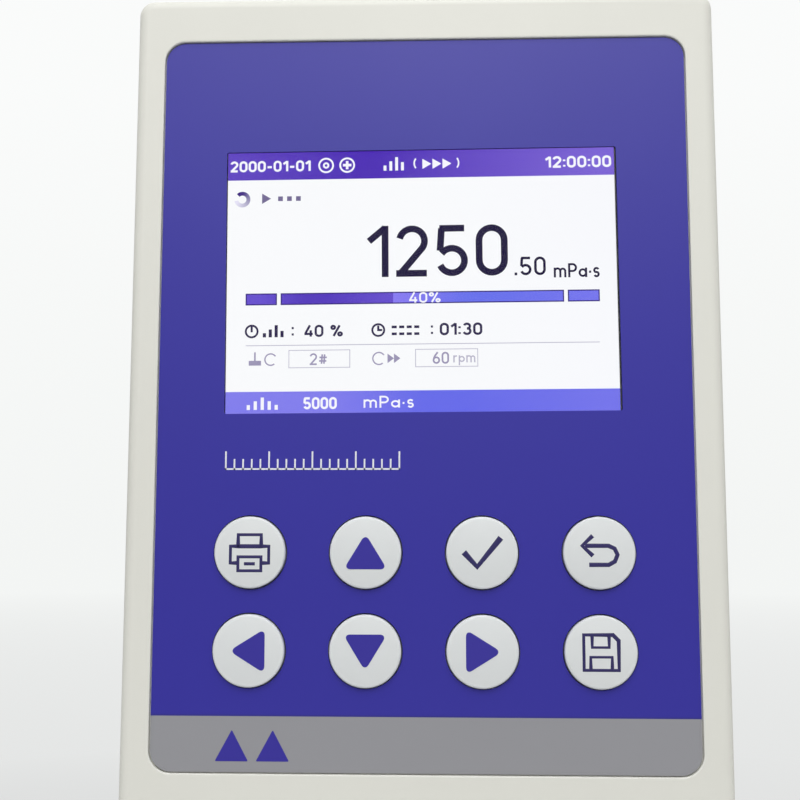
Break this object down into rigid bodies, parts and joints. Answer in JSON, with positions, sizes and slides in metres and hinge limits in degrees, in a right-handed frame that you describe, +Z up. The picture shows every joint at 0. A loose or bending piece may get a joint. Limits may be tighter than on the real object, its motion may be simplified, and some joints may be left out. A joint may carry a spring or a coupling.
{
  "type": "rotational viscometer",
  "caption": "Bench rotational viscometer: a head with a colour display and round keys turns a disc spindle inside a U guard, on a rack column with a levelling V base.",
  "frame": {"origin": "on the bench under the middle of the base's footprint", "axes": "+Z up along the column, -Y towards the front of the head, +X to the right of someone reading the display"},
  "size_m": [0.26, 0.28, 0.452],
  "materials": {
    "stand_paint": "fine textured enamel",
    "block_paint": "fine textured enamel",
    "column_steel": "ground and polished",
    "zinc_steel": "zinc plated",
    "ground_steel": "ground",
    "polished_steel": "polished stainless",
    "motor_steel": "black lacquer",
    "bush_bronze": "machined bronze",
    "spring_bronze": "rolled beryllium bronze",
    "milled_aluminium": "milled",
    "turned_aluminium": "turned and clear anodised",
    "housing_plastic": "fine spark texture",
    "key_plastic": "satin",
    "overlay_film": "satin printed film",
    "clear_window": "clear hard-coated window",
    "display_module": "lit picture",
    "circuit_board": "solder mask",
    "black_plastic": "fine texture",
    "knob_plastic": "satin moulded",
    "rocker_plastic": "satin",
    "sensor_plastic": "moulded",
    "nylon": "natural nylon",
    "foot_rubber": "moulded",
    "level_vial": "clear, with tinted liquid",
    "socket_shell": "nickel plated"
  },
  "bodies": {
    "base": {"base_casting": "stand_paint", "column": "column_steel", "column_nut": "zinc_steel", "column_cap": "black_plastic"},
    "lift": {"lift_block": "block_paint", "pinion_bushes": "bush_bronze", "brake_pad": "nylon"},
    "pinion": {"pinion_shaft": "ground_steel", "lift_knob_left": "knob_plastic", "lift_knob_right": "knob_plastic"},
    "tension": {"tension_screw": "knob_plastic"},
    "lock": {"lock_screw": "knob_plastic"},
    "head": {"front_housing": "housing_plastic", "rear_housing": "housing_plastic", "housing_screws": "zinc_steel", "panel_overlay": "overlay_film", "display_lens": "clear_window", "lcd_module": "display_module", "key_board": "circuit_board", "main_board": "circuit_board", "lower_plate": "milled_aluminium", "plate_pillars": "milled_aluminium", "motor_bracket": "milled_aluminium", "stepper_motor": "motor_steel", "optical_sensors": "sensor_plastic", "pivot_bush": "bush_bronze", "neck_collar": "turned_aluminium", "guard_bracket": "polished_steel", "guard_screws": "polished_steel", "head_rod": "polished_steel", "level_cup": "turned_aluminium", "level_lens": "level_vial", "connector_panel": "black_plastic", "power_switch": "black_plastic", "dc_jack": "black_plastic", "data_sockets": "socket_shell", "probe_socket": "socket_shell"},
    "rocker": {"power_rocker": "rocker_plastic"},
    "drive": {"motor_shaft": "ground_steel", "drive_disc": "milled_aluminium", "hairspring": "spring_bronze"},
    "rotor": {"pivot_shaft": "ground_steel", "sensing_disc": "milled_aluminium", "spindle_coupling": "polished_steel", "spindle": "polished_steel"},
    "pad_front_left": {"foot_pad_front_left": "foot_rubber"},
    "screw_front_left": {"foot_screw_front_left": "knob_plastic"},
    "pad_front_right": {"foot_pad_front_right": "foot_rubber"},
    "screw_front_right": {"foot_screw_front_right": "knob_plastic"},
    "pad_rear": {"foot_pad_rear": "foot_rubber"},
    "screw_rear": {"foot_screw_rear": "knob_plastic"},
    "press_print": {"key_print": "key_plastic"},
    "press_up": {"key_up": "key_plastic"},
    "press_ok": {"key_ok": "key_plastic"},
    "press_back": {"key_back": "key_plastic"},
    "press_left": {"key_left": "key_plastic"},
    "press_down": {"key_down": "key_plastic"},
    "press_right": {"key_right": "key_plastic"},
    "press_save": {"key_save": "key_plastic"}
  },
  "joints": [
    {"name": "lift_slide", "type": "slide", "parent": "base", "child": "lift", "axis": [0, 0, 1], "range_m": [-0.02, 0.12]},
    {"name": "pinion_spin", "type": "hinge", "parent": "lift", "child": "pinion", "pos_m": [0, 0.085, 0.278], "axis": [1, 0, 0], "range_deg": [-144, 861]},
    {"name": "tension_turn", "type": "hinge", "parent": "lift", "child": "tension", "pos_m": [-0.025, 0.07, 0.306], "axis": [1, 0, 0], "range_deg": [-90, 0]},
    {"name": "lock_turn", "type": "hinge", "parent": "lift", "child": "lock", "pos_m": [0, 0.036, 0.31], "axis": [0, 0, 1], "range_deg": [0, 180]},
    {"name": "head_swivel", "type": "hinge", "parent": "lift", "child": "head", "pos_m": [0, 0.04, 0.29], "axis": [0, 1, 0], "range_deg": [-10, 10]},
    {"name": "rocker_tilt", "type": "hinge", "parent": "head", "child": "rocker", "pos_m": [-0.0365, -0.0088, 0.22], "axis": [1, 0, 0], "range_deg": [-18, 0]},
    {"name": "drive_spin", "type": "hinge", "parent": "head", "child": "drive", "pos_m": [0, -0.058, 0.27], "axis": [0, 0, 1], "continuous": true},
    {"name": "spring_windup", "type": "hinge", "parent": "drive", "child": "rotor", "pos_m": [0, -0.058, 0.24], "axis": [0, 0, 1], "range_deg": [-85, 0], "stiffness_Nm_per_rad": 0.000045},
    {"name": "foot_travel_front_left", "type": "slide", "parent": "base", "child": "pad_front_left", "axis": [0, 0, 1], "range_m": [-0.00305, 0.00305]},
    {"name": "foot_turn_front_left", "type": "hinge", "parent": "pad_front_left", "child": "screw_front_left", "pos_m": [-0.11, -0.12, 0.008], "axis": [0, 0, 1], "range_deg": [-864, 864]},
    {"name": "foot_travel_front_right", "type": "slide", "parent": "base", "child": "pad_front_right", "axis": [0, 0, 1], "range_m": [-0.00305, 0.00305]},
    {"name": "foot_turn_front_right", "type": "hinge", "parent": "pad_front_right", "child": "screw_front_right", "pos_m": [0.11, -0.12, 0.008], "axis": [0, 0, 1], "range_deg": [-864, 864]},
    {"name": "foot_travel_rear", "type": "slide", "parent": "base", "child": "pad_rear", "axis": [0, 0, 1], "range_m": [-0.00305, 0.00305]},
    {"name": "foot_turn_rear", "type": "hinge", "parent": "pad_rear", "child": "screw_rear", "pos_m": [0, 0.12, 0.008], "axis": [0, 0, 1], "range_deg": [-864, 864]},
    {"name": "press_print", "type": "slide", "parent": "head", "child": "press_print", "axis": [0, 1, 0], "range_m": [0, 0.0008], "stiffness_N_per_m": 250, "springref_m": -0.004},
    {"name": "press_up", "type": "slide", "parent": "head", "child": "press_up", "axis": [0, 1, 0], "range_m": [0, 0.0008], "stiffness_N_per_m": 250, "springref_m": -0.004},
    {"name": "press_ok", "type": "slide", "parent": "head", "child": "press_ok", "axis": [0, 1, 0], "range_m": [0, 0.0008], "stiffness_N_per_m": 250, "springref_m": -0.004},
    {"name": "press_back", "type": "slide", "parent": "head", "child": "press_back", "axis": [0, 1, 0], "range_m": [0, 0.0008], "stiffness_N_per_m": 250, "springref_m": -0.004},
    {"name": "press_left", "type": "slide", "parent": "head", "child": "press_left", "axis": [0, 1, 0], "range_m": [0, 0.0008], "stiffness_N_per_m": 250, "springref_m": -0.004},
    {"name": "press_down", "type": "slide", "parent": "head", "child": "press_down", "axis": [0, 1, 0], "range_m": [0, 0.0008], "stiffness_N_per_m": 250, "springref_m": -0.004},
    {"name": "press_right", "type": "slide", "parent": "head", "child": "press_right", "axis": [0, 1, 0], "range_m": [0, 0.0008], "stiffness_N_per_m": 250, "springref_m": -0.004},
    {"name": "press_save", "type": "slide", "parent": "head", "child": "press_save", "axis": [0, 1, 0], "range_m": [0, 0.0008], "stiffness_N_per_m": 250, "springref_m": -0.004}
  ],
  "couplings": [
    {"joint": "pinion_spin", "follows": "lift_slide", "rad_per_m": 125},
    {"joint": "foot_travel_front_left", "follows": "foot_turn_front_left", "m_per_rad": 0.00019894},
    {"joint": "foot_travel_front_right", "follows": "foot_turn_front_right", "m_per_rad": 0.00019894},
    {"joint": "foot_travel_rear", "follows": "foot_turn_rear", "m_per_rad": 0.00019894}
  ]
}
